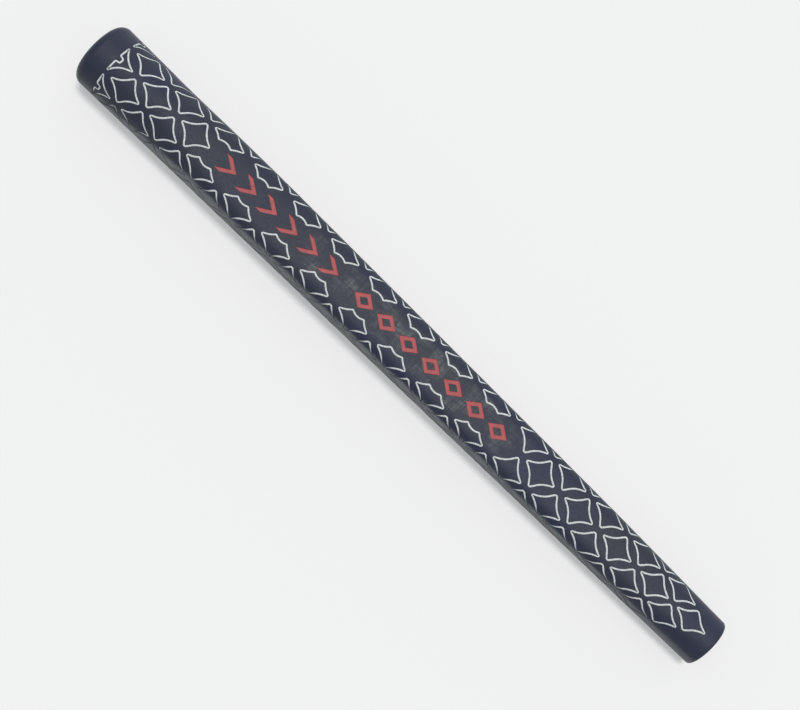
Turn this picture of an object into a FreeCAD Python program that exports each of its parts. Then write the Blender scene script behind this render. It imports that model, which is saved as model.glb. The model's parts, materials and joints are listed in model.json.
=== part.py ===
import FreeCAD, Part
import functools
import math
import os

os.makedirs("parts", exist_ok=True)

# A slip-on putter grip, in millimetres.
# The origin is the shaft stop at the blind end of the bore. +X runs along the bore to the mouth,
# +Z points out of the flat front, and the two moulded halves meet on the plane z = 0.
# Places along the grip that are named "from the butt" are counted from the butt's outermost point.

# --- Overall form ---
GRIP_LENGTH = 273.0
CAP_DEPTH = 7.0
HALF_WIDTH_BUTT = 11.75
HALF_WIDTH_MIDDLE = 10.35
HALF_WIDTH_MOUTH = 8.75

# --- Flat front, from the butt ---
FLAT_STARTS = 25.0
FLAT_FULL = 82.0
FLAT_FADES = 190.0
FLAT_ENDS = 285.0
FLAT_DROP = 0.15
FLAT_SQUARENESS = 2.2

# --- Shaft bore and butt cap ---
BORE_RADIUS = 7.1
MOUTH_LEAD_IN = 0.5
MOUTH_ROUNDING = 1.0
CAP_DOME = 0.8
CAP_ROUNDING = 3.4
SPIGOT_RADIUS = 9.2
VENT_RADIUS = 1.1

# --- Moulded lattice of concave diamonds, from the butt. Its pitch tightens near the mouth ---
ROWS = 12
ROW_ANGLE = 360.0 / ROWS
FRONT_SPREAD = 1.6
PITCH = 16.88
FIRST_CENTRE = 10.2
LAST_CENTRE = 263.4
TIGHT_FROM = 237.0
TIGHTENING = 0.05
CELL_HALF_LENGTH = 6.12
CELL_HALF_ANGLE = 23.6
SIDE_SAG = 0.067

# --- The groove round each cell, and the paint in it ---
GROOVE_WIDTH = 0.70
GROOVE_DEPTH = 0.40
PAINT_SINK = 0.08
CUTTER_RISE = 0.4
PRISM_REACH = 3.0

# --- Where the lattice is cut square at the butt, with a notch in each cut cell ---
LATTICE_START = 10.0
NOTCH_HALF_WIDTH = 1.1
NOTCH_DEPTH = 1.6

# --- Clear field on the front: each cell beside it is clipped by an ellipse on the centre line ---
FIELD_FIRST_CENTRE = 60.8
FIELD_LAST_CENTRE = 179.0
FIELD_CLEARANCE_ALONG = 4.65
FIELD_CLEARANCE_ACROSS = 5.15

# --- Band sanded smooth along each parting line, as polar angles from the front ---
BAND_FROM = 58.0
BAND_TO = 122.0

# --- Red marks: chevrons, then lozenge rings, from the butt ---
MARK_HEIGHT = 6.1
CHEVRON_WIDTH = 6.9
CHEVRON_STROKE = 2.3
LOZENGE_WIDTH = 8.2
LOZENGE_STROKE = 1.3
CHEVRONS = 6
FIRST_CHEVRON = 58.4
CHEVRON_PITCH = 9.0
LOZENGES = 7
FIRST_LOZENGE = 118.1
LOZENGE_PITCH = 9.8

# --- Fineness of the curves, and a distance that is too small to matter ---
ARC_STEPS = 60
SHARE_STEPS = 400
SECTION_POINTS = 17
LOFT_SECTIONS = 24
TINY = 0.01

BUTT = -CAP_DEPTH
MOUTH = GRIP_LENGTH - CAP_DEPTH
CAP_JOINT = BUTT + CAP_DOME + CAP_ROUNDING
OUTSIDE = 2.0 * HALF_WIDTH_BUTT
QUARTER_TURN = math.pi / 2
ORIGIN = FreeCAD.Vector(0, 0, 0)
ALONG = FreeCAD.Vector(1, 0, 0)
UP = FreeCAD.Vector(0, 0, 1)


# ---------------------------------------------------------------- the grip's skin


def half_width(x):
    """Half the grip's width at x: a parabola through the butt, the middle and the mouth."""
    t = (x - BUTT) / GRIP_LENGTH
    bow = 2.0 * (HALF_WIDTH_BUTT + HALF_WIDTH_MOUTH - 2.0 * HALF_WIDTH_MIDDLE)
    slope = HALF_WIDTH_MOUTH - HALF_WIDTH_BUTT - bow
    return HALF_WIDTH_BUTT + slope * t + bow * t * t


def smooth_step(value, low, high):
    t = min(max((value - low) / (high - low), 0.0), 1.0)
    return t * t * (3.0 - 2.0 * t)


def flatness(x):
    """0 where the front is round, 1 where it is fully flat."""
    from_butt = x - BUTT
    rising = smooth_step(from_butt, FLAT_STARTS, FLAT_FULL)
    return rising * (1.0 - smooth_step(from_butt, FLAT_FADES, FLAT_ENDS))


def skin_radius(x, polar):
    """Distance from the bore's axis to the skin, at a polar angle from the front in radians.

    The back is round. The front is a superellipse that flattens and squares up with flatness.
    """
    width = half_width(x)
    if abs(polar) >= QUARTER_TURN:
        return width
    flat = flatness(x)
    power = 2.0 + FLAT_SQUARENESS * flat
    height = width * (1.0 - FLAT_DROP * flat)
    across = (math.sin(abs(polar)) / width) ** power
    up = (math.cos(polar) / height) ** power
    return (across + up) ** (-1.0 / power)


def skin_point(x, polar):
    radius = skin_radius(x, polar)
    return FreeCAD.Vector(x, radius * math.sin(polar), radius * math.cos(polar))


def raised_point(x, polar, rise):
    """A point of the skin moved outwards along the section's normal."""
    tangent = skin_point(x, polar + TINY) - skin_point(x, polar - TINY)
    outward = ALONG.cross(tangent).normalize()
    return skin_point(x, polar) + outward * rise


@functools.lru_cache(maxsize=None)
def front_arcs(x):
    """Arc lengths from the front's centre line to equal polar steps of the first quarter turn."""
    arcs = [0.0]
    last = skin_point(x, 0.0)
    for i in range(1, ARC_STEPS + 1):
        point = skin_point(x, i * QUARTER_TURN / ARC_STEPS)
        arcs.append(arcs[-1] + point.distanceToPoint(last))
        last = point
    return arcs


def polar_at(x, arc):
    """The polar angle that lies a signed arc length away from the front's centre line."""
    arcs = front_arcs(x)
    length = abs(arc)
    if length >= arcs[-1]:
        polar = QUARTER_TURN + (length - arcs[-1]) / half_width(x)
    else:
        i = next(i for i, value in enumerate(arcs) if value > length)
        share = (length - arcs[i - 1]) / (arcs[i] - arcs[i - 1])
        polar = (i - 1 + share) * QUARTER_TURN / ARC_STEPS
    return math.copysign(polar, arc)


def lattice_arc(x, degrees):
    """Arc length of a lattice angle: even round the back, and spread out across the flat front."""
    turn = abs(degrees)
    quarter = front_arcs(x)[-1]
    if turn > 90.0:
        arc = quarter + math.radians(turn - 90.0) * half_width(x)
    else:
        arc = quarter * turn / 90.0 + FRONT_SPREAD * flatness(x) * math.sin(math.radians(2.0 * turn))
    return math.copysign(arc, degrees)


# ---------------------------------------------------------------- body halves and cap


def half_section(x, centre, rise):
    """The closed outline of one half at x, round the polar angle of its centre line."""
    angles = [centre + QUARTER_TURN * (2.0 * i / (SECTION_POINTS - 1) - 1.0) for i in range(SECTION_POINTS)]
    points = [raised_point(x, math.remainder(angle, 2.0 * math.pi), rise) for angle in angles]
    curve = Part.BSplineCurve()
    curve.interpolate(Points=points, Parameters=[float(i) for i in range(SECTION_POINTS)])
    return Part.Wire([curve.toShape(), Part.makeLine(points[-1], points[0])])


def half_loft(centre, rise):
    """A solid half of the grip, with its skin moved outwards by rise."""
    stations = [CAP_JOINT + (MOUTH - CAP_JOINT) * i / (LOFT_SECTIONS - 1) for i in range(LOFT_SECTIONS)]
    return Part.makeLoft([half_section(x, centre, rise) for x in stations], True, False)


def half_body(centre):
    """One moulded half: the lofted skin, less the shaft bore, its lead-in and the cap's rebate."""
    body = half_loft(centre, 0.0)
    rim = [
        edge
        for edge in body.Edges
        if edge.BoundBox.XMin > MOUTH - TINY and edge.BoundBox.ZLength > MOUTH_ROUNDING
    ]
    body = body.makeFillet(MOUTH_ROUNDING, rim)
    bore = Part.makeCylinder(BORE_RADIUS, MOUTH, ORIGIN, ALONG)
    rebate = Part.makeCylinder(SPIGOT_RADIUS, -CAP_JOINT, ORIGIN, ALONG * -1)
    lead_in_start = FreeCAD.Vector(MOUTH - MOUTH_LEAD_IN, 0, 0)
    lead_in = Part.makeCone(BORE_RADIUS, BORE_RADIUS + MOUTH_LEAD_IN, MOUTH_LEAD_IN, lead_in_start, ALONG)
    return body.cut([bore, rebate, lead_in])


def end_cap():
    """The butt cap: a domed disc with a rounded edge, a spigot behind it and a vent through it."""
    radius = half_width(CAP_JOINT)
    shoulder = BUTT + CAP_DOME
    corner_x = CAP_JOINT - CAP_ROUNDING * math.sqrt(0.5)
    corner_z = radius - CAP_ROUNDING + CAP_ROUNDING * math.sqrt(0.5)
    dome_half = (radius - CAP_ROUNDING) / 2
    rim = FreeCAD.Vector(CAP_JOINT, 0, radius)
    edge = FreeCAD.Vector(shoulder, 0, radius - CAP_ROUNDING)
    tip = FreeCAD.Vector(BUTT, 0, 0)
    dome = Part.Arc(tip, FreeCAD.Vector(BUTT + CAP_DOME / 4, 0, dome_half), edge)
    rounding = Part.Arc(edge, FreeCAD.Vector(corner_x, 0, corner_z), rim)
    seat = FreeCAD.Vector(CAP_JOINT, 0, SPIGOT_RADIUS)
    spigot = FreeCAD.Vector(0, 0, SPIGOT_RADIUS)
    straight = Part.makePolygon([rim, seat, spigot, ORIGIN, tip])
    profile = Part.Wire([dome.toShape(), rounding.toShape()] + straight.Edges)
    disc = Part.Face(profile).revolve(ORIGIN, ALONG, 360)
    vent = Part.makeCylinder(VENT_RADIUS, CAP_DEPTH, tip, ALONG)
    return disc.cut(vent)


# ---------------------------------------------------------------- outlines of the cells

# An outline is a closed anticlockwise list of points, in along and across distances. Corners alternate
# with the middles of the sides between them, and each side is the arc through its middle.


def closed_outline(corners, sags):
    """An outline from its corners and, for each side, how far it sags inwards as a share of its length."""
    outline = []
    for i, corner in enumerate(corners):
        following = corners[(i + 1) % len(corners)]
        along = (corner[0] + following[0]) / 2 - (following[1] - corner[1]) * sags[i]
        across = (corner[1] + following[1]) / 2 + (following[0] - corner[0]) * sags[i]
        outline += [corner, (along, across)]
    return outline


def offset_outline(outline, distance):
    """An outline moved outwards by distance."""
    moved = []
    for i, point in enumerate(outline):
        before = outline[i - 1]
        after = outline[(i + 1) % len(outline)]
        into_size = math.dist(before, point)
        out_size = math.dist(point, after)
        normal_x = (point[1] - before[1]) / into_size + (after[1] - point[1]) / out_size
        normal_y = (before[0] - point[0]) / into_size + (point[0] - after[0]) / out_size
        scale = 2.0 * distance / (normal_x * normal_x + normal_y * normal_y)
        moved.append((point[0] + normal_x * scale, point[1] + normal_y * scale))
    return moved


def cell_heights(x, row):
    """How far a cell reaches across on each side of its row's line."""
    line = lattice_arc(x, row * ROW_ANGLE)
    above = lattice_arc(x, row * ROW_ANGLE + CELL_HALF_ANGLE) - line
    below = line - lattice_arc(x, row * ROW_ANGLE - CELL_HALF_ANGLE)
    return above, below


def full_cell(x, row):
    above, below = cell_heights(x, row)
    corners = [(x + CELL_HALF_LENGTH, 0.0), (x, above), (x - CELL_HALF_LENGTH, 0.0), (x, -below)]
    return closed_outline(corners, [SIDE_SAG] * 4)


def butt_cell(x, row):
    """The last half cell at the butt, cut square, with a small notch in the cut."""
    above, below = cell_heights(x, row)
    start = BUTT + LATTICE_START
    corners = [
        (x + CELL_HALF_LENGTH, 0.0),
        (start, above),
        (start, NOTCH_HALF_WIDTH),
        (start, -NOTCH_HALF_WIDTH),
        (start, -below),
    ]
    notch_sag = NOTCH_DEPTH / (2.0 * NOTCH_HALF_WIDTH)
    return closed_outline(corners, [SIDE_SAG, 0.0, notch_sag, 0.0, SIDE_SAG])


def field_share(gap, height):
    """How far along its side, from the row's line to the tip, a cell meets the clear field."""
    for i in range(SHARE_STEPS):
        share = i / SHARE_STEPS
        along = CELL_HALF_LENGTH * (1.0 - share) / FIELD_CLEARANCE_ALONG
        across = (gap - height * share) / FIELD_CLEARANCE_ACROSS
        if math.hypot(along, across) < 1.0:
            return share
    return 1.0


def field_cell(x, row):
    """A cell of the row beside the clear field, with its inner corner clipped by the field's ellipse."""
    above, below = cell_heights(x, row)
    gap = abs(lattice_arc(x, row * ROW_ANGLE))
    height = below if row > 0 else above
    share = field_share(gap, height)
    half_chord = CELL_HALF_LENGTH * (1.0 - share)
    reach = height * share
    sag = (FIELD_CLEARANCE_ACROSS - gap + reach) / (2.0 * half_chord)
    right = (x + CELL_HALF_LENGTH, 0.0)
    left = (x - CELL_HALF_LENGTH, 0.0)
    if row > 0:
        corners = [right, (x, above), left, (x - half_chord, -reach), (x + half_chord, -reach)]
        sags = [SIDE_SAG, SIDE_SAG, 0.0, sag, 0.0]
    else:
        corners = [right, (x + half_chord, reach), (x - half_chord, reach), left, (x, -below)]
        sags = [0.0, sag, 0.0, SIDE_SAG, SIDE_SAG]
    return closed_outline(corners, sags)


def row_cells(row):
    """The centre and outline of every cell of one row. Odd rows are staggered by half a pitch.

    The lattice ends in a point on the front and on the back, and half a pitch earlier with each row.
    """
    from_front = min(abs(row), ROWS // 2 - abs(row))
    last = LAST_CENTRE - from_front * PITCH / 2
    place = FIRST_CENTRE + (PITCH / 2 if row % 2 else 0.0)
    cells = []
    while place < last + PITCH / 4:
        beside_field = abs(row) == 1 and FIELD_FIRST_CENTRE - PITCH < place < FIELD_LAST_CENTRE
        in_field = row == 0 and FIELD_FIRST_CENTRE - PITCH / 4 < place < FIELD_LAST_CENTRE + PITCH / 4
        x = BUTT + place - TIGHTENING * max(place - TIGHT_FROM, 0.0)
        if place == FIRST_CENTRE:
            cells.append((x, butt_cell(x, row)))
        elif beside_field:
            cells.append((x, field_cell(x, row)))
        elif not in_field:
            cells.append((x, full_cell(x, row)))
        place += PITCH
    return cells


# ---------------------------------------------------------------- grooves and paint


def arc_wire(points):
    """A closed wire through alternate corners and side middles."""
    edges = []
    for i in range(0, len(points), 2):
        start, middle, end = points[i], points[i + 1], points[(i + 2) % len(points)]
        bulge = middle.distanceToLine(start, end - start)
        if bulge < TINY:
            edges.append(Part.makeLine(start, end))
        else:
            edges.append(Part.Arc(start, middle, end).toShape())
    return Part.Wire(edges)


def groove_prism(centre, outline, row):
    """A ring of the groove's width round a cell, square to the skin at the cell's centre."""
    polar = polar_at(centre, lattice_arc(centre, row * ROW_ANGLE))
    middle = skin_point(centre, polar)
    outward = raised_point(centre, polar, 1.0) - middle
    sideways = outward.cross(ALONG)
    start = middle - outward * PRISM_REACH
    wires = []
    for distance in (GROOVE_WIDTH / 2, -GROOVE_WIDTH / 2):
        points = []
        for x, across in offset_outline(outline, distance):
            arc = lattice_arc(x, row * ROW_ANGLE) + across
            offset = skin_point(x, polar_at(x, arc)) - middle
            points.append(start + ALONG * offset.x + sideways * offset.dot(sideways))
        wires.append(arc_wire(points))
    ring = Part.Face(wires[0]).cut(Part.Face(wires[1])).Faces[0]
    return ring.extrude(outward * (PRISM_REACH + CUTTER_RISE))


def sanded_band(side):
    """The wedge of space over one parting line's sanded band."""
    corners = [FreeCAD.Vector(BUTT, 0, 0)]
    for degrees in (BAND_FROM, (BAND_FROM + BAND_TO) / 2, BAND_TO):
        turn = math.radians(degrees)
        y = side * OUTSIDE * math.sin(turn)
        corners.append(FreeCAD.Vector(BUTT, y, OUTSIDE * math.cos(turn)))
    face = Part.Face(Part.makePolygon(corners + corners[:1]))
    return face.extrude(ALONG * GRIP_LENGTH)


def lattice_grooves(rows, core):
    """Cutters for the groove round every cell of some rows, which end at the sanded bands."""
    prisms = []
    for row in rows:
        prisms += [groove_prism(centre, outline, row) for centre, outline in row_cells(row)]
    rings = Part.makeCompound(prisms).cut([sanded_band(1), sanded_band(-1), core])
    return rings.Solids


# ---------------------------------------------------------------- red marks


def chevron(x):
    """A chevron that points to the mouth, as a flat outline centred at x."""
    back = x - CHEVRON_WIDTH / 2
    nose = x + CHEVRON_WIDTH / 2
    side = MARK_HEIGHT / 2
    return [
        [
            (back, side),
            (back + CHEVRON_STROKE, side),
            (nose, 0.0),
            (back + CHEVRON_STROKE, -side),
            (back, -side),
            (nose - CHEVRON_STROKE, 0.0),
        ]
    ]


def lozenge(x):
    """A lozenge ring centred at x: its outer and its inner outline."""
    outlines = []
    diagonal = math.hypot(LOZENGE_WIDTH, MARK_HEIGHT)
    for inset in (0.0, LOZENGE_STROKE):
        along = LOZENGE_WIDTH / 2 - inset * diagonal / MARK_HEIGHT
        side = MARK_HEIGHT / 2 - inset * diagonal / LOZENGE_WIDTH
        outlines.append([(x + along, 0.0), (x, side), (x - along, 0.0), (x, -side)])
    return outlines


def mark_solid(outlines, top):
    """An upright prism of a mark, from its recess floor to a height above the skin."""
    xs = [x for x, _ in outlines[0]]
    skin = min(skin_radius(min(xs), 0.0), skin_radius(max(xs), 0.0))
    wires = []
    for outline in outlines:
        points = [FreeCAD.Vector(x, y, skin - GROOVE_DEPTH) for x, y in outline]
        wires.append(Part.makePolygon(points + points[:1]))
    face = Part.Face(wires[0])
    for hole in wires[1:]:
        face = face.cut(Part.Face(hole))
    return face.extrude(UP * (GROOVE_DEPTH + top)).Solids[0]


def chevrons(top):
    centres = [BUTT + FIRST_CHEVRON + i * CHEVRON_PITCH for i in range(CHEVRONS)]
    return [mark_solid(chevron(x), top) for x in centres]


def lozenges(top):
    centres = [BUTT + FIRST_LOZENGE + i * LOZENGE_PITCH for i in range(LOZENGES)]
    return [mark_solid(lozenge(x), top) for x in centres]


# ---------------------------------------------------------------- assembly


def main():
    front_core = half_loft(0.0, -GROOVE_DEPTH)
    back_core = half_loft(math.pi, -GROOVE_DEPTH)
    front_grooves = lattice_grooves((-2, -1, 0, 1, 2), front_core)
    back_grooves = lattice_grooves((-5, -4, 4, 5, 6), back_core)
    front_fill = half_loft(0.0, -PAINT_SINK)
    back_fill = half_loft(math.pi, -PAINT_SINK)
    mark_cutters = chevrons(CUTTER_RISE) + lozenges(CUTTER_RISE)
    nodes = {
        "front_half": half_body(0.0).cut(front_grooves + mark_cutters),
        "back_half": half_body(math.pi).cut(back_grooves),
        "end_cap": end_cap(),
        "front_outline_paint": Part.makeCompound(front_grooves).common(front_fill),
        "back_outline_paint": Part.makeCompound(back_grooves).common(back_fill),
        "butt_marks_paint": Part.makeCompound(chevrons(-PAINT_SINK)),
        "tip_marks_paint": Part.makeCompound(lozenges(-PAINT_SINK)),
    }
    for name, shape in nodes.items():
        print(name, len(shape.Solids), "solids", round(shape.Volume, 1), "mm3", shape.isValid())
        shape.exportStep("parts/" + name + ".step")


main()
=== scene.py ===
import json
import math

import bmesh
import bpy
import numpy as np
from mathutils import Matrix, Vector, kdtree
from mathutils.geometry import delaunay_2d_cdt


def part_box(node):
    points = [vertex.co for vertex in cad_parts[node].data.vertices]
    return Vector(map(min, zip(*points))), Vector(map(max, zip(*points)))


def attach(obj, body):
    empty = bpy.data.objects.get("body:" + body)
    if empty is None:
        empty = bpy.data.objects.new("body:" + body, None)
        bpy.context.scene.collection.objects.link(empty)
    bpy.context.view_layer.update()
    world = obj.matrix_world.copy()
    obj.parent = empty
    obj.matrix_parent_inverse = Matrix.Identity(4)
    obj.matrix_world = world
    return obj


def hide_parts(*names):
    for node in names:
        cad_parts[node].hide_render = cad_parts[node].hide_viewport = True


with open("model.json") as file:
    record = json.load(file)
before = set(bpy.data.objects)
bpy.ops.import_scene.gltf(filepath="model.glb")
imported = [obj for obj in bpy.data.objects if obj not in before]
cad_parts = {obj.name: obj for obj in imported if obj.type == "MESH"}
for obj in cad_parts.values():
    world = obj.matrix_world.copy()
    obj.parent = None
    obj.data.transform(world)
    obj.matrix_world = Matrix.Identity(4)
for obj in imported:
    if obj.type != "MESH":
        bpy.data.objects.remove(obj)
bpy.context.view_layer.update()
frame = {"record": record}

# Lengths are in millimetres until a mesh is made, and x runs along the shaft bore as in the frame.
MM = 0.001

# --- Places taken from the frame ---
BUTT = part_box("end_cap")[0].x / MM
SHAFT_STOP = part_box("end_cap")[1].x / MM
BODY_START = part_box("front_half")[0].x / MM
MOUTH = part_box("front_half")[1].x / MM
LENGTH = MOUTH - BUTT
BORE_RADIUS = frame["record"]["mounts"][0]["dims"]["r_mm"]

# --- The skin's form, with places counted from the butt ---
HALF_WIDTH_BUTT = 11.75
HALF_WIDTH_MIDDLE = 10.35
HALF_WIDTH_MOUTH = 8.75
FLAT_STARTS, FLAT_FULL, FLAT_FADES, FLAT_ENDS = 25.0, 82.0, 190.0, 285.0
FLAT_DROP = 0.15
FLAT_SQUARENESS = 2.2

# --- The cap and the mouth ---
CAP_DOME = 0.8
CAP_ROUNDING = 3.4
CAP_JOINT_EASE = 0.12
CAP_JOINT_STEP = 0.03
SPIGOT_RADIUS = 9.2
VENT_RADIUS = 1.1
VENT_EASE = 0.12
MOUTH_ROUNDING = 1.05
MOUTH_LEAD_IN = 0.5

# --- The lattice ---
ROWS = 12
ROW_ANGLE = 360.0 / ROWS
FRONT_SPREAD = 1.6
PITCH = 16.88
FIRST_CENTRE = 10.2
LAST_CENTRE = 263.4
TIGHT_FROM = 237.0
TIGHTENING = 0.05
CELL_HALF_LENGTH = 5.80
CELL_HALF_ANGLE = 23.8
SIDE_SAG = 0.125
TIP_SETBACK = 0.75
PEAK_SETBACK = 1.25
CLIP_SETBACK = 0.10
CUT_SETBACK = 0.35
NOTCH_SETBACK = 0.15
MARK_SETBACK = 0.05
LATTICE_START = 10.0
NOTCH_HALF_WIDTH = 1.1
NOTCH_DEPTH = 1.5
NOTCH_TAPER = 0.75
BUTT_CELL_SHRINK = 0.1
FIELD_FIRST_CENTRE = 60.8
FIELD_LAST_CENTRE = 179.0
FIELD_CLEARANCE_ALONG = 4.65
FIELD_CLEARANCE_ACROSS = 5.15

# --- A groove's section: how far each edge lies from its middle, and how deep ---
GROOVE_EDGES = ((0.40, 0.0), (0.345, 0.05), (0.30, 0.36))

# --- The white paint's section, as places across the groove and depths, and how it wears away ---
PAINT_TOP = ((-0.28, 0.17), (-0.18, 0.11), (0.0, 0.09), (0.18, 0.11), (0.28, 0.17))
PAINT_FOOT = ((0.27, 0.34), (-0.27, 0.34))
PAINT_SECTION = PAINT_TOP + PAINT_FOOT
PAINT_FADES = 11.0
PAINT_GONE = 0.97
PAINT_NARROWED = 0.6
PAINT_SHARP_ANGLE = 50.0

# --- The sanded band along each parting line: polar angles, and places from the butt ---
BAND_FROM, BAND_TO = 58.0, 122.0
BAND_FROM_BUTT, BAND_FROM_MOUTH = 78.0, 63.0
BUTT_NARROW_ENDS = (18.0, 52.0)
MOUTH_NARROW_STARTS = (180.0, 230.0)
BAND_WAVES = ((1.1, 0.21, 0.0), (0.7, 0.53, 1.0))
BAND_SOFTNESS = 3.0
BAND_APPEARS = (2.0, 24.0)
BAND_WEAKENS = (225.0, 268.0)
WEAKENED_BY = 0.6
BAND_WORN = 0.05
GROOVE_LEFT_IN_BAND = 0.2

# --- The dusty patch on the flat front, from the butt, and across from its centre line ---
DUST_FROM, DUST_FULL, DUST_FADES, DUST_TO = 88.0, 106.0, 176.0, 192.0
DUST_HALF_WIDTH = 6.4
DUST_EDGE = 1.6

# --- The red marks ---
MARK_HEIGHT = 6.1
CHEVRON_WIDTH = 6.9
CHEVRON_STROKE = 2.34
LOZENGE_WIDTH = 8.2
LOZENGE_STROKE = 1.3
MARK_EASE = 0.06
MARK_DEPTH = 0.36
MARK_PAINT_EDGE, MARK_PAINT_TOP = 0.15, 0.10
MARK_PAINT_ROUNDING = 0.1
MARK_PAINT_FOOT = 0.35
CHEVRONS, FIRST_CHEVRON, CHEVRON_PITCH = 6, 58.4, 9.0
LOZENGES, FIRST_LOZENGE, LOZENGE_PITCH = 7, 118.1, 9.8

# --- Fineness of the meshes ---
SIDE_STEP = 0.42
CORNER_STEP = 0.16
GRID_STEP = 1.05
GRID_CLEARANCE = 0.42
EDGE_CLEARANCE = 0.3
LANE_CLEARANCE = 1.5
ROUND_STEP = 4.0
ACROSS_PER_DEGREE = 0.19
STATION_STEP = 1.0
QUARTER_STEPS = 90
FIELD_STEPS = 401
MOUTH_STEPS = 5
DOME_STEPS = 9
ROUNDING_STEPS = 12
LATHE_STEPS = 120

# --- Distances and angles that are too small to matter ---
TINY = 1e-6
NUDGE = 1e-5
POLAR_STEP = 0.002
ALMOST_ALL = 0.999


# ---------------------------------------------------------------- the skin


def smooth_step(value, low, high):
    t = np.clip((value - low) / (high - low), 0.0, 1.0)
    return t * t * (3.0 - 2.0 * t)


def half_width(x):
    t = (x - BUTT) / LENGTH
    bow = 2.0 * (HALF_WIDTH_BUTT + HALF_WIDTH_MOUTH - 2.0 * HALF_WIDTH_MIDDLE)
    slope = HALF_WIDTH_MOUTH - HALF_WIDTH_BUTT - bow
    return HALF_WIDTH_BUTT + slope * t + bow * t * t


def flatness(x):
    """0 where the front is round, 1 where it is fully flat."""
    rising = smooth_step(x - BUTT, FLAT_STARTS, FLAT_FULL)
    return rising * (1.0 - smooth_step(x - BUTT, FLAT_FADES, FLAT_ENDS))


def skin_radius(x, polar):
    """Distance from the bore's axis to the skin at a polar angle from the front, in radians."""
    width = half_width(x)
    flat = flatness(x)
    power = 2.0 + FLAT_SQUARENESS * flat
    height = width * (1.0 - FLAT_DROP * flat)
    across = (np.abs(np.sin(polar)) / width) ** power
    up = (np.clip(np.cos(polar), 0.0, 1.0) / height) ** power
    front = (across + up) ** (-1.0 / power)
    return np.where(np.cos(polar) > 0.0, front, width)


STATIONS = np.arange(BUTT, MOUTH + STATION_STEP, STATION_STEP)


def arc_tables():
    """At each station: the front quarter's arc length, and the polar angle at each equal part of it."""
    polar = np.linspace(0.0, math.pi / 2, 4 * QUARTER_STEPS + 1)
    quarters, polars = [], []
    for x in STATIONS:
        radius = skin_radius(np.full_like(polar, x), polar)
        y, z = radius * np.sin(polar), radius * np.cos(polar)
        arc = np.concatenate(([0.0], np.cumsum(np.hypot(np.diff(y), np.diff(z)))))
        quarters.append(arc[-1])
        polars.append(np.interp(np.linspace(0.0, arc[-1], QUARTER_STEPS + 1), arc, polar))
    return np.array(quarters), np.array(polars)


QUARTERS, POLARS = arc_tables()


def quarter_arc(x):
    return np.interp(x, STATIONS, QUARTERS)


def polar_of(x, turn):
    """Polar angle in radians of a turn in degrees, where 90 degrees of turn is always a quarter's arc."""
    row = np.clip((x - STATIONS[0]) / STATION_STEP, 0.0, len(STATIONS) - 2 + ALMOST_ALL)
    column = np.clip(np.abs(turn), 0.0, QUARTER_STEPS - 1 + ALMOST_ALL)
    i, j = row.astype(int), column.astype(int)
    a, b = row - i, column - j
    low = POLARS[i, j] * (1 - b) + POLARS[i, j + 1] * b
    high = POLARS[i + 1, j] * (1 - b) + POLARS[i + 1, j + 1] * b
    front = low * (1 - a) + high * a
    return np.where(np.abs(turn) < 90.0, np.copysign(front, turn), np.radians(turn))


def turn_of(x, row, across):
    """The turn, in degrees, that lies across millimetres round the skin from a row's line."""
    angle = row * ROW_ANGLE
    side = -1.0 if angle < 0 else 1.0
    angle = abs(angle)
    quarter = quarter_arc(x)
    if angle > 90.0:
        arc = quarter + np.radians(angle - 90.0) * half_width(x)
    else:
        arc = quarter * angle / 90.0 + FRONT_SPREAD * flatness(x) * math.sin(math.radians(2.0 * angle))
    arc = side * arc + across
    beyond = 90.0 + np.degrees((np.abs(arc) - quarter) / half_width(x))
    return np.sign(arc) * np.where(np.abs(arc) <= quarter, np.abs(arc) / quarter * 90.0, beyond)


def place(x, turn, rise):
    """Points of the skin in the row frame, moved outwards by rise along the section's normal."""
    polar = polar_of(x, turn)
    back, ahead = polar - POLAR_STEP, polar + POLAR_STEP
    before, after = skin_radius(x, back), skin_radius(x, ahead)
    ahead_y = after * np.sin(ahead) - before * np.sin(back)
    ahead_z = after * np.cos(ahead) - before * np.cos(back)
    size = np.hypot(ahead_y, ahead_z)
    radius = skin_radius(x, polar)
    y = radius * np.sin(polar) - rise * ahead_z / size
    z = radius * np.cos(polar) + rise * ahead_y / size
    return np.stack((x, y, z), axis=-1)


def polar_degrees(x, turn):
    """Polar angle from the front, from 0 to 180 degrees."""
    polar = np.abs(np.degrees(polar_of(x, turn)))
    return np.where(polar > 180.0, 360.0 - polar, polar)


def band_start(x):
    """The polar angle where the sanded band begins, a little uneven, as it is sanded by hand."""
    from_butt = x - BUTT
    start = BAND_FROM + (BAND_FROM_BUTT - BAND_FROM) * (1.0 - smooth_step(from_butt, *BUTT_NARROW_ENDS))
    start += (BAND_FROM_MOUTH - BAND_FROM) * smooth_step(from_butt, *MOUTH_NARROW_STARTS)
    for size, rate, phase in BAND_WAVES:
        start = start + size * np.sin(x * rate + phase)
    return start


def band_share(x, turn):
    """1 in the sanded bands along the parting lines, 0 on the rest of the skin."""
    polar, start = polar_degrees(x, turn), band_start(x)
    inside = smooth_step(polar, start - BAND_SOFTNESS, start + BAND_SOFTNESS)
    inside *= smooth_step(x - BUTT, *BAND_APPEARS)
    inside *= 1.0 - WEAKENED_BY * smooth_step(x - BUTT, *BAND_WEAKENS)
    return inside * (1.0 - smooth_step(polar, BAND_TO - BAND_SOFTNESS, BAND_TO + BAND_SOFTNESS))


def paint_wear(x, turn):
    """0 where the paint is whole, and 1 where it is sanded away."""
    polar, start = polar_degrees(x, turn), band_start(x)
    inside = smooth_step(polar, start - PAINT_FADES, start + BAND_SOFTNESS)
    return inside * (1.0 - smooth_step(polar, BAND_TO - BAND_SOFTNESS, BAND_TO + PAINT_FADES))


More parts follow.
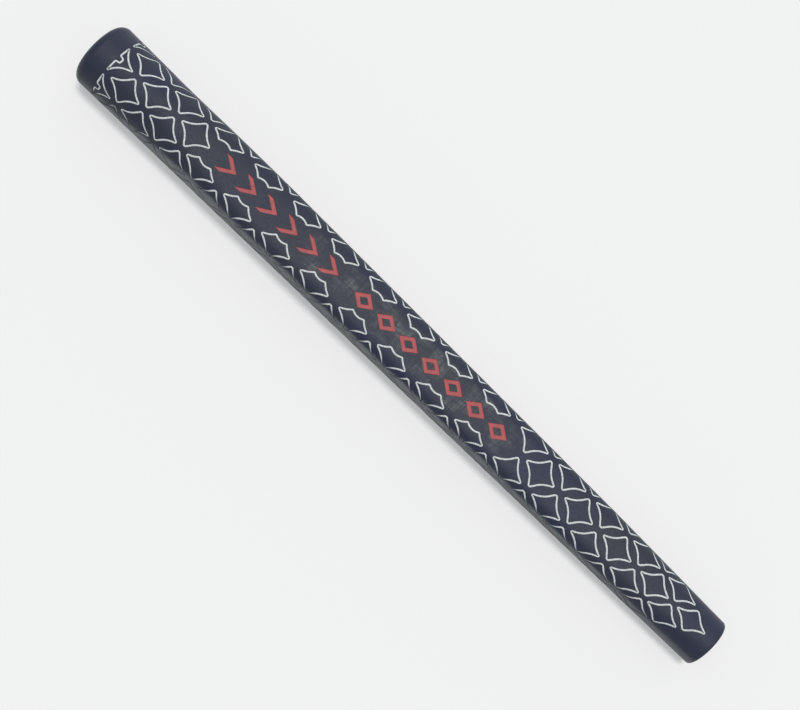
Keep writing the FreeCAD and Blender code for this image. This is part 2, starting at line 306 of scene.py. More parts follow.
def dust_share(x, points):
    """How much dust lies on each point of the flat front."""
    from_butt = x - BUTT
    along = smooth_step(from_butt, DUST_FROM, DUST_FULL) * (1.0 - smooth_step(from_butt, DUST_FADES, DUST_TO))
    across = 1.0 - smooth_step(np.abs(points[:, 1]), DUST_HALF_WIDTH - DUST_EDGE, DUST_HALF_WIDTH)
    return np.where(points[:, 2] > 0.0, along * across, 0.0)


# ---------------------------------------------------------------- outlines


def side_of(start, end, sag):
    """A side that sags to its left by a share of its length: a function of 0 to 1, and its end directions."""
    start, end = np.array(start), np.array(end)
    run = end - start
    left = np.array((-run[1], run[0]))

    def point(t):
        t = np.asarray(t)[..., None]
        return start + run * t + left * (4.0 * sag * t * (1.0 - t))

    return point, run + 4.0 * sag * left, run - 4.0 * sag * left


def rounded_outline(corners, sags, setbacks):
    """A closed anticlockwise outline through corners, each side sagging inwards.

    Each corner is rounded by the arc that passes at its setback from the sharp corner.
    """
    count = len(corners)
    sides = [side_of(corners[i], corners[(i + 1) % count], sags[i]) for i in range(count)]
    bends = []
    for i in range(count):
        into = sides[i - 1][2] / np.linalg.norm(sides[i - 1][2])
        out = sides[i][1] / np.linalg.norm(sides[i][1])
        turn = math.acos(float(np.clip(into @ out, -1.0, 1.0)))
        radius = setbacks[i] / (1.0 / math.cos(turn / 2) - 1.0)
        bends.append((into, out, turn, radius, radius * math.tan(turn / 2)))
    points = []
    for i, (into, out, turn, radius, cut) in enumerate(bends):
        corner = np.array(corners[i])
        inward = (out - into) / np.linalg.norm(out - into)
        centre = corner + inward * (radius + setbacks[i])
        first = corner - into * cut - centre
        steps = max(3, math.ceil(turn * radius / CORNER_STEP))
        sense = math.copysign(1.0, into[0] * out[1] - into[1] * out[0])
        for k in range(steps + 1):
            a = sense * turn * k / steps
            c, s = math.cos(a), math.sin(a)
            points.append(centre + np.array((first[0] * c - first[1] * s, first[0] * s + first[1] * c)))
        length = np.linalg.norm(sides[i][1] + sides[i][2]) / 2
        begin, end = cut / length, 1.0 - bends[(i + 1) % count][4] / length
        inner = max(1, round(length * (end - begin) / SIDE_STEP))
        points += list(sides[i][0](np.linspace(begin, end, inner + 1)[1:-1]))
    return np.array(points)


def outline_normals(points):
    """Outward normals of a closed anticlockwise outline, long enough to keep a side's distance at a bend."""
    def unit(v):
        return v / np.maximum(np.linalg.norm(v, axis=1, keepdims=True), 1e-9)

    into = unit(points - np.roll(points, 1, axis=0))
    out = unit(np.roll(points, -1, axis=0) - points)
    total = into + out
    normal = np.stack((total[:, 1], -total[:, 0]), axis=1)
    return 2.0 * normal / np.maximum((normal * normal).sum(axis=1, keepdims=True), 1e-6)


def across_at(x, row, angle):
    """Across distance from a row's line to a lattice angle away from it, at one station."""
    def arc(degrees):
        quarter, turned = float(quarter_arc(x)), abs(degrees)
        if turned > 90.0:
            size = quarter + math.radians(turned - 90.0) * float(half_width(x))
        else:
            size = quarter * turned / 90.0
            size += FRONT_SPREAD * float(flatness(x)) * math.sin(math.radians(2.0 * turned))
        return math.copysign(size, degrees)

    return arc(row * ROW_ANGLE + angle) - arc(row * ROW_ANGLE)


def cell_corners(x, row):
    """A cell's half length and its heights above and below, out to its corners before they are rounded."""
    above = across_at(x, row, CELL_HALF_ANGLE) + PEAK_SETBACK
    below = PEAK_SETBACK - across_at(x, row, -CELL_HALF_ANGLE)
    return CELL_HALF_LENGTH + TIP_SETBACK, above, below


def full_cell(x, row):
    length, above, below = cell_corners(x, row)
    corners = [(x + length, 0.0), (x, above), (x - length, 0.0), (x, -below)]
    return rounded_outline(corners, [SIDE_SAG] * 4, [TIP_SETBACK, PEAK_SETBACK] * 2)


def butt_cell(x, row):
    """The half cell at the butt, cut square, with a round notch in the cut."""
    length, above, below = cell_corners(x, row)
    start = BUTT + LATTICE_START
    cut = (x - start) / length
    corners = [
        (x + length, 0.0),
        (start, above * (1.0 - BUTT_CELL_SHRINK - abs(cut))),
        (start, NOTCH_HALF_WIDTH),
        (start + NOTCH_DEPTH, NOTCH_TAPER * NOTCH_HALF_WIDTH),
        (start + NOTCH_DEPTH, -NOTCH_TAPER * NOTCH_HALF_WIDTH),
        (start, -NOTCH_HALF_WIDTH),
        (start, -below * (1.0 - BUTT_CELL_SHRINK - abs(cut))),
    ]
    sags = [SIDE_SAG, 0.0, 0.0, 0.0, 0.0, 0.0, SIDE_SAG]
    setbacks = [TIP_SETBACK, CUT_SETBACK] + [NOTCH_SETBACK] * 4 + [CUT_SETBACK]
    return rounded_outline(corners, sags, setbacks)


def field_cell(x, row):
    """A cell beside the clear field, its inner corner clipped by an ellipse on the front's centre line."""
    length, above, below = cell_corners(x, row)
    gap = abs(across_at(x, 0, row * ROW_ANGLE))
    height = below if row > 0 else above
    share = np.linspace(0.0, 1.0, FIELD_STEPS)
    sag = 4.0 * SIDE_SAG * share * (1.0 - share)
    along = length * (1.0 - share) - height * sag
    across = height * share - length * sag
    inside = np.hypot(along / FIELD_CLEARANCE_ALONG, (gap - across) / FIELD_CLEARANCE_ACROSS) < 1.0
    clip = np.argmax(inside)
    half_chord, reach = float(along[clip]), float(across[clip])
    chord = math.hypot(length - half_chord, reach)
    side_sag = SIDE_SAG * chord / math.hypot(length, height)
    arc_sag = (FIELD_CLEARANCE_ACROSS - gap + reach) / (2.0 * half_chord)
    right, left = (x + length, 0.0), (x - length, 0.0)
    if row > 0:
        corners = [right, (x, above), left, (x - half_chord, -reach), (x + half_chord, -reach)]
        sags = [SIDE_SAG, SIDE_SAG, side_sag, arc_sag, side_sag]
        setbacks = [TIP_SETBACK, PEAK_SETBACK, TIP_SETBACK, CLIP_SETBACK, CLIP_SETBACK]
    else:
        corners = [right, (x + half_chord, reach), (x - half_chord, reach), left, (x, -below)]
        sags = [side_sag, arc_sag, side_sag, SIDE_SAG, SIDE_SAG]
        setbacks = [TIP_SETBACK, CLIP_SETBACK, CLIP_SETBACK, TIP_SETBACK, PEAK_SETBACK]
    return rounded_outline(corners, sags, setbacks)


def row_cells(row):
    """Every cell outline of one row. Odd rows are staggered by half a pitch."""
    from_front = min(abs(row), ROWS // 2 - abs(row))
    last = LAST_CENTRE - from_front * PITCH / 2
    spot = FIRST_CENTRE + (PITCH / 2 if row % 2 else 0.0)
    cells = []
    while spot < last + PITCH / 4:
        beside_field = abs(row) == 1 and FIELD_FIRST_CENTRE - PITCH < spot < FIELD_LAST_CENTRE
        in_field = row == 0 and FIELD_FIRST_CENTRE - PITCH / 4 < spot < FIELD_LAST_CENTRE + PITCH / 4
        x = BUTT + spot - TIGHTENING * max(spot - TIGHT_FROM, 0.0)
        if spot == FIRST_CENTRE:
            cells.append(butt_cell(x, row))
        elif beside_field:
            cells.append(field_cell(x, row))
        elif not in_field:
            cells.append(full_cell(x, row))
        spot += PITCH
    return cells


def chevron_outlines(x):
    """A chevron that points to the mouth."""
    back, nose, side = x - CHEVRON_WIDTH / 2, x + CHEVRON_WIDTH / 2, MARK_HEIGHT / 2
    corners = [
        (nose, 0.0),
        (back + CHEVRON_STROKE, side),
        (back, side),
        (nose - CHEVRON_STROKE, 0.0),
        (back, -side),
        (back + CHEVRON_STROKE, -side),
    ]
    return [rounded_outline(corners, [0.0] * 6, [MARK_SETBACK] * 6)]


def lozenge_outlines(x):
    """A lozenge ring: its outer and its inner outline."""
    diagonal = math.hypot(LOZENGE_WIDTH, MARK_HEIGHT)
    outlines = []
    for inset in (0.0, LOZENGE_STROKE):
        along = LOZENGE_WIDTH / 2 - inset * diagonal / MARK_HEIGHT
        side = MARK_HEIGHT / 2 - inset * diagonal / LOZENGE_WIDTH
        corners = [(x + along, 0.0), (x, side), (x - along, 0.0), (x, -side)]
        outlines.append(rounded_outline(corners, [0.0] * 4, [MARK_SETBACK] * 4))
    return outlines


def butt_marks():
    return [chevron_outlines(BUTT + FIRST_CHEVRON + i * CHEVRON_PITCH) for i in range(CHEVRONS)]


def tip_marks():
    return [lozenge_outlines(BUTT + FIRST_LOZENGE + i * LOZENGE_PITCH) for i in range(LOZENGES)]


# ---------------------------------------------------------------- meshes


def new_piece(name, points, faces, attributes, sharp_angle=35.0):
    """A smooth mesh object from points in millimetres that stands for the CAD node of the same name."""
    mesh = bpy.data.meshes.new(name)
    mesh.from_pydata((np.asarray(points) * MM).tolist(), [], faces)
    mesh.validate()
    for key, values in attributes.items():
        layer = mesh.attributes.new(key, "FLOAT", "POINT")
        layer.data.foreach_set("value", np.asarray(values, dtype=np.float32))
    turned = bmesh.new()
    turned.from_mesh(mesh)
    bmesh.ops.delete(turned, geom=[v for v in turned.verts if not v.link_faces], context="VERTS")
    bmesh.ops.recalc_face_normals(turned, faces=turned.faces)
    turned.to_mesh(mesh)
    turned.free()
    mesh.polygons.foreach_set("use_smooth", [True] * len(mesh.polygons))
    mesh.set_sharp_from_angle(angle=math.radians(sharp_angle))
    mesh.update()
    piece = bpy.data.objects.new(name, mesh)
    bpy.context.collection.objects.link(piece)
    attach(piece, "root")
    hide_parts(name)
    return piece


def clip_loop(loop, low, high):
    """The stretches of a closed loop of (x, turn) between two turns, with a point added at each crossing."""
    inside = (loop[:, 1] >= low) & (loop[:, 1] <= high)
    if inside.all():
        return [(loop, True)]
    if not inside.any():
        return []
    count = len(loop)
    start = next(i for i in range(count) if inside[i] and not inside[i - 1])
    chains, chain = [], []
    for k in range(count + 1):
        i = (start + k) % count
        before = loop[i - 1]
        if inside[i] != inside[i - 1]:
            limit = low if min(before[1], loop[i][1]) < low else high
            t = (limit - before[1]) / (loop[i][1] - before[1])
            crossing = (before[0] + (loop[i][0] - before[0]) * t, limit)
            chain.append(crossing)
            if not inside[i]:
                chains.append((np.array(chain), False))
                chain = []
        if inside[i] and k < count:
            chain.append(tuple(loop[i]))
    return chains


class Plan:
    """The points and edges that a half's plan is made from, as places along and turns round the grip."""

    def __init__(self, low, high):
        self.low, self.high = low, high
        self.xs, self.turns, self.depths, self.edges = [], [], [], []
        self.crossings = {low: [], high: []}
        self.middles = []

    def add_point(self, x, turn, depth):
        self.xs.append(x)
        self.turns.append(turn)
        self.depths.append(depth)

    def add_chain(self, points, depth, closed):
        base = len(self.xs)
        for x, turn in points:
            self.add_point(x, turn, depth)
        self.edges.extend((base + i, base + i + 1) for i in range(len(points) - 1))
        if closed:
            self.edges.append((base + len(points) - 1, base))

    def loop(self, outline, row):
        """An outline as a loop of (x, turn), with its turns counted as this half counts them."""
        turn = turn_of(outline[:, 0], row, outline[:, 1])
        if self.high > 180.0:
            turn = np.where(turn < 0, turn + 360.0, turn)
        return np.stack((outline[:, 0], turn), axis=1)

    def add_groove(self, outline, row):
        """Both walls of the groove along an outline, as far as this half reaches."""
        normals = outline_normals(outline)
        for side in (1.0, -1.0):
            for reach, depth in GROOVE_EDGES:
                loop = self.loop(outline + normals * (side * reach), row)
                for chain, closed in clip_loop(loop, self.low, self.high):
                    self.add_chain(chain, depth, closed)
                    if not closed:
                        for x, turn in (chain[0], chain[-1]):
                            self.crossings[self.low if abs(turn - self.low) < TINY else self.high].append(x)
        self.middles.append(self.loop(outline, row))

    def add_mark(self, outlines):
        """The wall round a mark's recess."""
        for k, outline in enumerate(outlines):
            out = 1.0 if k == 0 else -1.0
            for reach, depth in ((MARK_EASE, 0.0), (0.0, MARK_DEPTH)):
                moved = outline + outline_normals(outline) * (out * reach)
                self.add_chain(self.loop(moved, 0), depth, True)
            self.middles.append(self.loop(outline, 0))

    def add_border(self, end):
        """The two parting lines and the two end rings."""
        for limit in (self.low, self.high):
            known = sorted(self.crossings[limit])
            regular = np.linspace(BODY_START, end, round((end - BODY_START) / GRID_STEP) + 1)
            kept = [x for x in regular[1:-1] if all(abs(x - k) > EDGE_CLEARANCE for k in known)]
            line = sorted([BODY_START, end] + kept + known)
            self.add_chain([(x, limit) for x in line], 0.0, False)
        round_count = round((self.high - self.low) / ROUND_STEP)
        for x in (BODY_START, end):
            turns = np.linspace(self.low, self.high, round_count + 1)
            self.add_chain([(x, turn) for turn in turns], 0.0, False)

    def add_grid(self, end):
        """A staggered grid of points on the plain skin, clear of every groove and mark."""
        tree = kdtree.KDTree(sum(len(m) for m in self.middles))
        for i, (x, turn) in enumerate(np.concatenate(self.middles)):
            tree.insert((x, turn * ACROSS_PER_DEGREE, 0.0), i)
        tree.balance()
        clearance = GROOVE_EDGES[0][0] + GRID_CLEARANCE
        span = self.high - self.low
        columns = round((end - BODY_START) / GRID_STEP)
        lanes = round(span * ACROSS_PER_DEGREE / GRID_STEP)
        for i in range(1, columns):
            x = BODY_START + (end - BODY_START) * i / columns
            for j in range(1, lanes):
                turn = self.low + span * (j + (0.5 if i % 2 else 0.0)) / lanes
                if turn > self.high - LANE_CLEARANCE:
                    continue
                if tree.find((x, turn * ACROSS_PER_DEGREE, 0.0))[2] > clearance:
                    self.add_point(x, turn, 0.0)

    def triangulated(self):
        """The plan's points as (x, turn), how deep each lies, and its triangles."""
        flat = [Vector((x, turn * ACROSS_PER_DEGREE)) for x, turn in zip(self.xs, self.turns)]
        points, _, faces, origins, _, _ = delaunay_2d_cdt(flat, self.edges, [], 0, TINY, True)
        depth = np.array([max((self.depths[k] for k in origin), default=0.0) for origin in origins])
        plan = np.array([(p.x, p.y / ACROSS_PER_DEGREE) for p in points])
        for i, origin in enumerate(origins):
            if origin:
                plan[i] = self.xs[origin[0]], self.turns[origin[0]]
        return plan, depth, [list(face) for face in faces]


def half_plan(rows, marks, low, high):
    """A triangulated plan of one half in (x, turn), and how deep each of its points lies."""
    plan = Plan(low, high)
    for row in rows:
        for outline in row_cells(row):
            plan.add_groove(outline, row)
    for outlines in marks:
        plan.add_mark(outlines)
    end = MOUTH - MOUTH_ROUNDING
    plan.add_border(end)
    plan.add_grid(end)
    return plan.triangulated()


def inner_profile():
    """From the mouth's rounding, down the bore and through the cap's rebate, as (x, radius)."""
    rim = float(half_width(MOUTH - MOUTH_ROUNDING))
    profile = []
    for k in range(1, MOUTH_STEPS + 1):
        a = k * math.pi / (2 * MOUTH_STEPS)
        along = MOUTH - MOUTH_ROUNDING * (1.0 - math.sin(a))
        profile.append((along, rim - MOUTH_ROUNDING * (1.0 - math.cos(a))))
    return profile + [
        (MOUTH, BORE_RADIUS + MOUTH_LEAD_IN),
        (MOUTH - MOUTH_LEAD_IN, BORE_RADIUS),
        (SHAFT_STOP, BORE_RADIUS),
        (SHAFT_STOP, SPIGOT_RADIUS),
        (BODY_START, SPIGOT_RADIUS),
    ]


def moulded_half(name, rows, marks, low, high):
    """One rubber half: the grooved skin, the rounded mouth, the bore, the rebate and the parting faces."""
    plan, depth, faces = half_plan(rows, marks, low, high)
    x, turn = plan[:, 0], plan[:, 1]
    band = band_share(x, turn)
    worn = np.where(depth > 0.0, depth * (1.0 - (1.0 - GROOVE_LEFT_IN_BAND) * band), 0.0)
    ends = smooth_step(x, BODY_START, BODY_START + 2.0) * (1.0 - smooth_step(x, MOUTH - 3.0, MOUTH - 1.0))
    points = list(place(x, turn, -worn - BAND_WORN * band * ends))
    # Groove depth from 0 to 1. The rubber material uses it for painted shade in the grooves and mark
    # recesses, and for the groove remnants in the sanded bands.
    groove = list(np.minimum(depth / GROOVE_EDGES[-1][1], 1.0))
    dust = list(dust_share(x, np.array(points)))
    band = list(band)

    def edge_at(station):
        found = [i for i in range(len(plan)) if abs(plan[i, 0] - station) < TINY]
        return sorted(found, key=lambda i: plan[i, 1])

    first, last = edge_at(BODY_START), edge_at(MOUTH - MOUTH_ROUNDING)
    angles = [float(polar_of(plan[i:i + 1, 0], plan[i:i + 1, 1])[0]) for i in last]
    rings = [last]
    for station, radius in inner_profile():
        rings.append(list(range(len(points), len(points) + len(last))))
        points += [np.array((station, radius * math.sin(a), radius * math.cos(a))) for a in angles]
        for values in (groove, band, dust):
            values += [0.0] * len(last)
    rings.append(first)
    for ring, following in zip(rings[:-1], rings[1:]):
        for i in range(len(ring) - 1):
            faces.append([ring[i], ring[i + 1], following[i + 1], following[i]])
    for limit, at in ((low, 0), (high, -1)):
        line = [i for i in range(len(plan)) if abs(plan[i, 1] - limit) < TINY]
        line.sort(key=lambda i: plan[i, 0])
        faces.append(line + [ring[at] for ring in rings[1:-1]])
    return new_piece(name, points, faces, {"groove": groove, "band": band, "dust": dust})


def lathe(profile):
    """Points and faces of a closed profile of (x, radius), turned round the bore's axis."""
    points, faces = [], []
    for i in range(LATHE_STEPS):
        a = 2.0 * math.pi * i / LATHE_STEPS
        points += [(x, r * math.sin(a), r * math.cos(a)) for x, r in profile]
    size = len(profile)
    for i in range(LATHE_STEPS):
        j = (i + 1) % LATHE_STEPS
        for k in range(size):
            n = (k + 1) % size
            faces.append([i * size + k, j * size + k, j * size + n, i * size + n])
    return points, faces


def end_cap():
    """The butt cap: a domed disc with a rounded edge, its spigot and the vent through it."""
    radius = float(half_width(BODY_START))
    shoulder = BUTT + CAP_DOME
    flat = radius - CAP_ROUNDING
    vent_edge = VENT_RADIUS + VENT_EASE
    profile = [(SHAFT_STOP, VENT_RADIUS), (BUTT + VENT_EASE, VENT_RADIUS)]
    for k in range(DOME_STEPS + 1):
        r = vent_edge + (flat - vent_edge) * k / DOME_STEPS
        profile.append((BUTT + CAP_DOME * (r / flat) ** 2, r))
    for k in range(1, ROUNDING_STEPS + 1):
        a = k * math.pi / (2 * ROUNDING_STEPS)
        x = shoulder + (BODY_START - CAP_JOINT_EASE - shoulder) * (1.0 - math.cos(a))
        profile.append((x, flat + CAP_ROUNDING * math.sin(a)))
    profile += [
        (BODY_START, radius - CAP_JOINT_STEP),
        (BODY_START, SPIGOT_RADIUS),
        (SHAFT_STOP, SPIGOT_RADIUS),
    ]
    points, faces = lathe(profile)
    return new_piece("end_cap", points, faces, {})


def kept_runs(kept):
    """The unbroken runs of indices round a closed outline where kept is true."""
    count = len(kept)
    if kept.all():
        return [list(range(count))]
    runs = []
    for start in (i for i in range(count) if kept[i] and not kept[i - 1]):
        run = [start]
        while kept[(run[-1] + 1) % count]:
            run.append((run[-1] + 1) % count)
        runs.append(run)
    return [run for run in runs if len(run) > 2]


def bead_faces(base, length, closed):
    """The faces of one bead of paint, whose section's points follow each other in rows of one length."""
    size = len(PAINT_SECTION)
    faces = []
    for k in range(size):
        near, far = base + k * length, base + (k + 1) % size * length
        for i in range(length if closed else length - 1):
            j = (i + 1) % length
            faces.append([near + i, near + j, far + j, far + i])
    if not closed:
        faces.append([base + k * length for k in range(size)])
        faces.append([base + k * length + length - 1 for k in reversed(range(size))])
    return faces


def outline_paint(name, rows):
    """The white paint in the grooves: a low bead along each outline, worn away towards the sanded bands."""
    points, faces, wear = [], [], []
    for row in rows:
        for outline in row_cells(row):
            normals = outline_normals(outline)
            share = paint_wear(outline[:, 0], turn_of(outline[:, 0], row, outline[:, 1]))
            kept = share < PAINT_GONE
            for run in kept_runs(kept):
                faces += bead_faces(len(points), len(run), bool(kept.all()))
                width = 1.0 - PAINT_NARROWED * share[run]
                for reach, depth in PAINT_SECTION:
                    moved = outline[run] + normals[run] * (reach * width)[:, None]
                    turn = turn_of(moved[:, 0], row, moved[:, 1])
                    band = band_share(moved[:, 0], turn)
                    sink = depth * (1.0 - (1.0 - GROOVE_LEFT_IN_BAND) * band)
                    points += list(place(moved[:, 0], turn, -BAND_WORN * band - sink))
                    wear += list(share[run])
    return new_piece(name, points, faces, {"wear": wear}, PAINT_SHARP_ANGLE)


def inside_outline(point, outline):
    """Whether a point lies inside a closed outline. The nudge keeps its level off the outline's corners."""
    x, y = point[0], point[1] + NUDGE
    x0, y0 = outline[:, 0], outline[:, 1]
    x1, y1 = np.roll(x0, -1), np.roll(y0, -1)
    crosses = (y0 > y) != (y1 > y)
    at = x0 + (y - y0) / np.where(y1 == y0, TINY, y1 - y0) * (x1 - x0)
    return bool((crosses & (at > x)).sum() % 2)


def inside_mark(point, outlines):
    """Whether a point lies inside a mark: in its outer outline and outside its holes."""
    return inside_outline(point, outlines[0]) and not any(inside_outline(point, o) for o in outlines[1:])


def mark_plan(outlines):
    """A mark's flat plan, the depth of each of its points, and its triangles."""
    flat, edges, depths = [], [], []
    for k, outline in enumerate(outlines):
        inward = outline_normals(outline) * (-1.0 if k == 0 else 1.0)
        for inset, depth in ((0.0, MARK_PAINT_EDGE), (MARK_PAINT_ROUNDING, MARK_PAINT_TOP)):
            base, count = len(flat), len(outline)
            flat += [Vector(p) for p in outline + inward * inset]
            depths += [depth] * count
            edges += [(base + i, base + (i + 1) % count) for i in range(count)]
    plan, _, triangles, origins, _, _ = delaunay_2d_cdt(flat, edges, [], 0, TINY, True)
    plan = np.array([tuple(p) for p in plan])
    depth = np.array([max((depths[k] for k in origin), default=MARK_PAINT_TOP) for origin in origins])
    kept = [list(t) for t in triangles if inside_mark(plan[list(t)].mean(axis=0), outlines)]
    return plan, depth, kept


def mark_paint(name, marks):
    """The red paint in the marks: a flat fill with a soft edge, just under the skin."""
    points, faces = [], []
    for outlines in marks:
        plan, depth, kept = mark_plan(outlines)
        base, count = len(points), len(plan)
        turn = turn_of(plan[:, 0], 0, plan[:, 1])
        points += list(place(plan[:, 0], turn, -depth))
        points += list(place(plan[:, 0], turn, np.full(count, -MARK_PAINT_FOOT)))
        borders = set()
        for a, b, c in kept:
            faces.append([base + a, base + b, base + c])
            faces.append([base + count + c, base + count + b, base + count + a])
            borders.update(((a, b), (b, c), (c, a)))
        for a, b in sorted(borders):
            if (b, a) not in borders:
                faces.append([base + b, base + a, base + count + a, base + count + b])
    return new_piece(name, points, faces, {})


# ---------------------------------------------------------------- materials


class Nodes:
    """Short ways to add shader nodes to one material."""

    def __init__(self, name):
        self.material = bpy.data.materials.new(name)
        self.material.use_nodes = True
        self.tree = self.material.node_tree
        self.shader = self.tree.nodes["Principled BSDF"]
        self.coordinates = self.tree.nodes.new("ShaderNodeTexCoord").outputs["Object"]

    def link(self, source, target):
        self.tree.links.new(source, target)

    def value(self, kind, *inputs):
        """A Math node over sockets and numbers."""
        node = self.tree.nodes.new("ShaderNodeMath")
        node.operation = kind
        for socket, given in zip(node.inputs, inputs):
            if isinstance(given, (int, float)):
                socket.default_value = given
            else:
                self.link(given, socket)
        return node.outputs[0]

    def attribute(self, name):
        node = self.tree.nodes.new("ShaderNodeAttribute")
        node.attribute_name = name
        return node.outputs["Fac"]

    def noise(self, scale, detail=3.0, stretch=(1.0, 1.0, 1.0), roughness=0.55):
        """Noise in the row frame, with scale in cycles per metre."""
        mapping = self.tree.nodes.new("ShaderNodeMapping")
        mapping.inputs["Scale"].default_value = stretch
        self.link(self.coordinates, mapping.inputs["Vector"])
        node = self.tree.nodes.new("ShaderNodeTexNoise")
        node.inputs["Scale"].default_value = scale
        node.inputs["Detail"].default_value = detail
        node.inputs["Roughness"].default_value = roughness
        self.link(mapping.outputs[0], node.inputs["Vector"])
        return node.outputs["Fac"]

    def remap(self, source, low, high, to_low=0.0, to_high=1.0):
        node = self.tree.nodes.new("ShaderNodeMapRange")
        for key, given in (("From Min", low), ("From Max", high), ("To Min", to_low), ("To Max", to_high)):
            node.inputs[key].default_value = given
        self.link(source, node.inputs["Value"])
        return node.outputs[0]

    def blend(self, share, first, second):
        """A colour mixed from two, each given as a colour or a socket."""
        node = self.tree.nodes.new("ShaderNodeMix")
        node.data_type = "RGBA"
        self.link(share, node.inputs["Factor"])
        for socket, given in ((node.inputs[6], first), (node.inputs[7], second)):
            if isinstance(given, tuple):
                socket.default_value = (*given, 1.0)
            else:
                self.link(given, socket)
        return node.outputs[2]

    def bump(self, height, distance, strength=1.0):
        node = self.tree.nodes.new("ShaderNodeBump")
        node.inputs["Strength"].default_value = strength
        node.inputs["Distance"].default_value = distance
        self.link(height, node.inputs["Height"])
        self.link(node.outputs[0], self.shader.inputs["Normal"])


def rubber_material():
    """Satin moulded rubber: navy to black, grey where it is sanded, dusty on the front, with painted shade
    darkening the walls of its grooves and mark recesses.
    """
    n = Nodes("rubber")
    cloud = n.remap(n.noise(38.0, 3.0), 0.35, 0.65)
    grain = n.noise(1500.0, 2.0)
    fine = n.noise(5200.0, 2.0)
    base = n.blend(cloud, (0.0125, 0.0165, 0.0370), (0.0160, 0.0200, 0.0320))
    lengthways = n.noise(1300.0, 4.0, (0.12, 1.0, 1.0), 0.7)
    crossways = n.noise(1300.0, 4.0, (1.0, 0.10, 1.0), 0.7)
    hatching = n.remap(n.value("MULTIPLY", lengthways, crossways), 0.19, 0.34)
    patches = n.remap(n.noise(130.0, 3.0), 0.44, 0.64)
    dust = n.value("MULTIPLY", n.attribute("dust"), n.value("MULTIPLY", hatching, patches))
    dusty = n.blend(n.value("MULTIPLY", dust, 0.8), base, (0.150, 0.163, 0.160))
    haze = n.blend(n.value("MULTIPLY", n.attribute("dust"), 0.3), dusty, (0.026, 0.030, 0.031))
    # Painted shade: the rubber is blended towards near-black by the groove depth, so the groove walls and
    # mark recess walls look shaded.
    skin = n.blend(n.value("MULTIPLY", n.attribute("groove"), 0.7), haze, (0.004, 0.005, 0.009))
    band = n.attribute("band")
    sanded = n.blend(n.remap(lengthways, 0.3, 0.7), (0.078, 0.085, 0.096), (0.130, 0.139, 0.152))
    old_groove = n.value("MULTIPLY", n.attribute("groove"), 0.8)
    worn_flat = n.blend(old_groove, sanded, (0.030, 0.033, 0.040))
    n.link(n.blend(band, skin, worn_flat), n.shader.inputs["Base Color"])
    worn = n.value("MAXIMUM", band, dust)
    rough = n.value("ADD", n.remap(grain, 0.3, 0.7, 0.56, 0.66), n.value("MULTIPLY", worn, 0.2))
    n.link(rough, n.shader.inputs["Roughness"])
    n.shader.inputs["Specular IOR Level"].default_value = 0.26
    n.shader.inputs["Sheen Weight"].default_value = 0.20
    n.shader.inputs["Sheen Roughness"].default_value = 0.35
    n.bump(n.value("ADD", n.value("MULTIPLY", grain, 0.6), n.value("MULTIPLY", fine, 0.4)), 0.00003)
    return n.material


def white_material():
    """Worn off-white filling paint."""
    n = Nodes("outline_paint")
    patches = n.remap(n.noise(900.0, 3.0), 0.30, 0.62)
    specks = n.remap(n.noise(3800.0, 2.0), 0.42, 0.52)
    clean = n.blend(patches, (0.42, 0.445, 0.45), (0.56, 0.585, 0.58))
    dirty = n.blend(specks, (0.33, 0.35, 0.36), clean)
    n.link(n.blend(n.attribute("wear"), dirty, (0.10, 0.11, 0.12)), n.shader.inputs["Base Color"])
    n.shader.inputs["Roughness"].default_value = 0.7
    n.shader.inputs["Specular IOR Level"].default_value = 0.3
    n.bump(specks, 0.00002)
    return n.material


def red_material():
    """Matt red filling paint, a little uneven."""
    n = Nodes("mark_paint")
    patches = n.remap(n.noise(500.0, 4.0), 0.32, 0.66)
    n.link(n.blend(patches, (0.24, 0.043, 0.045), (0.30, 0.056, 0.057)), n.shader.inputs["Base Color"])
    n.shader.inputs["Roughness"].default_value = 0.6
    n.shader.inputs["Specular IOR Level"].default_value = 0.35
    n.bump(n.noise(2600.0, 3.0), 0.00003)
    return n.material


# ---------------------------------------------------------------- stage


FLOOR_HALF_SIZE = 3.0
REST_FROM_MIDDLE = -7.0


def floor():
    """A wide pale floor that the grip's back rests on, tangent to it below the middle of the grip."""
    rest = (BUTT + MOUTH) / 2 + REST_FROM_MIDDLE
    drop = float(half_width(rest + 1.0) - half_width(rest - 1.0)) / 2.0
    mesh = bpy.data.meshes.new("floor")
    signs = ((-1, -1), (1, -1), (1, 1), (-1, 1))
    corners = [(FLOOR_HALF_SIZE * x, FLOOR_HALF_SIZE * y, 0.0) for x, y in signs]
    mesh.from_pydata(corners, [], [(0, 1, 2, 3)])
    piece = bpy.data.objects.new("floor", mesh)
    bpy.context.collection.objects.link(piece)
    piece.location = (rest * MM, 0.0, -float(half_width(rest)) * MM)
    piece.rotation_euler = (0.0, math.atan(drop), 0.0)
    material = bpy.data.materials.new("floor")
    material.use_nodes = True
    shader = material.node_tree.nodes["Principled BSDF"]
    shader.inputs["Base Color"].default_value = (0.365, 0.365, 0.36, 1.0)
    shader.inputs["Roughness"].default_value = 1.0
    shader.inputs["Specular IOR Level"].default_value = 0.0
    shader.inputs["Emission Color"].default_value = (0.985, 0.99, 1.0, 1.0)
    shader.inputs["Emission Strength"].default_value = 0.360
    mesh.materials.append(material)


VIEW_ROLL = math.radians(12.7)
VIEW_TURN = math.radians(44.33)
VIEW_DISTANCE = 0.510
VIEW_FOCAL = 71.7
VIEW_ALONG = 131.1
VIEW_ACROSS = -2.35


def view_axes():
    """The camera's right, up and back directions in the row frame."""
    across = Vector((0.0, math.cos(VIEW_ROLL), math.sin(VIEW_ROLL)))
    back = Vector((0.0, -math.sin(VIEW_ROLL), math.cos(VIEW_ROLL)))
    along = Vector((1.0, 0.0, 0.0))
    right = along * math.cos(VIEW_TURN) + across * math.sin(VIEW_TURN)
    up = across * math.cos(VIEW_TURN) - along * math.sin(VIEW_TURN)
    return right, up, back, across


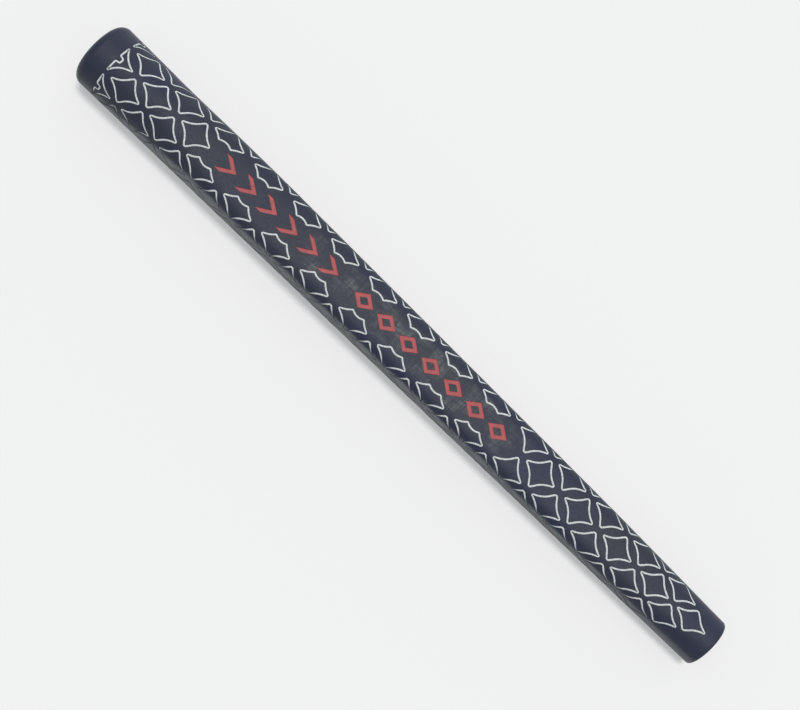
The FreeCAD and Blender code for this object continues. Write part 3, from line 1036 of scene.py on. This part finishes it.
def camera():
    right, up, back, across = view_axes()
    data = bpy.data.cameras.new("camera")
    data.sensor_width = 36.0
    data.lens = VIEW_FOCAL
    data.clip_start, data.clip_end = 0.01, 20.0
    view = bpy.data.objects.new("camera", data)
    bpy.context.collection.objects.link(view)
    target = Vector((VIEW_ALONG * MM, 0.0, 0.0)) + across * (VIEW_ACROSS * MM)
    turned = Matrix((right, up, back)).transposed()
    view.matrix_world = Matrix.Translation(target + back * VIEW_DISTANCE) @ turned.to_4x4()
    bpy.context.scene.camera = view


def sun(name, energy, degrees, towards):
    """A sun lamp that shines from a direction, as wide as an angle in degrees."""
    data = bpy.data.lights.new(name, "SUN")
    data.energy = energy
    data.angle = math.radians(degrees)
    lamp = bpy.data.objects.new(name, data)
    bpy.context.collection.objects.link(lamp)
    lamp.rotation_euler = Vector(towards).to_track_quat("Z", "Y").to_euler()
    return data


def lights():
    """A soft bluish sky, a broad sun almost straight above, and a low light that grazes the +Y side."""
    world = bpy.data.worlds.new("sky")
    world.use_nodes = True
    sky = world.node_tree.nodes["Background"]
    sky.inputs["Color"].default_value = (0.440, 0.460, 0.500, 1.0)
    sky.inputs["Strength"].default_value = 1.0
    bpy.context.scene.world = world
    sun("sun", 3.0, 14.0, (0.0, 0.03, 1.0)).color = (1.0, 0.985, 0.955)
    sun("rim", 1.1, 50.0, (0.0, 1.0, 0.1)).use_shadow = False


def main():
    front_rows = (-3, -2, -1, 0, 1, 2, 3)
    back_rows = (-3, -4, -5, 6, 5, 4, 3)
    rubber = rubber_material()
    white = white_material()
    red = red_material()
    pieces = (
        (moulded_half("front_half", front_rows, butt_marks() + tip_marks(), -90.0, 90.0), rubber),
        (moulded_half("back_half", back_rows, [], 90.0, 270.0), rubber),
        (end_cap(), rubber),
        (outline_paint("front_outline_paint", front_rows), white),
        (outline_paint("back_outline_paint", back_rows), white),
        (mark_paint("butt_marks_paint", butt_marks()), red),
        (mark_paint("tip_marks_paint", tip_marks()), red),
    )
    for piece, material in pieces:
        piece.data.materials.append(material)
    floor()
    camera()
    lights()
    bpy.context.scene.view_settings.view_transform = "Standard"


main()
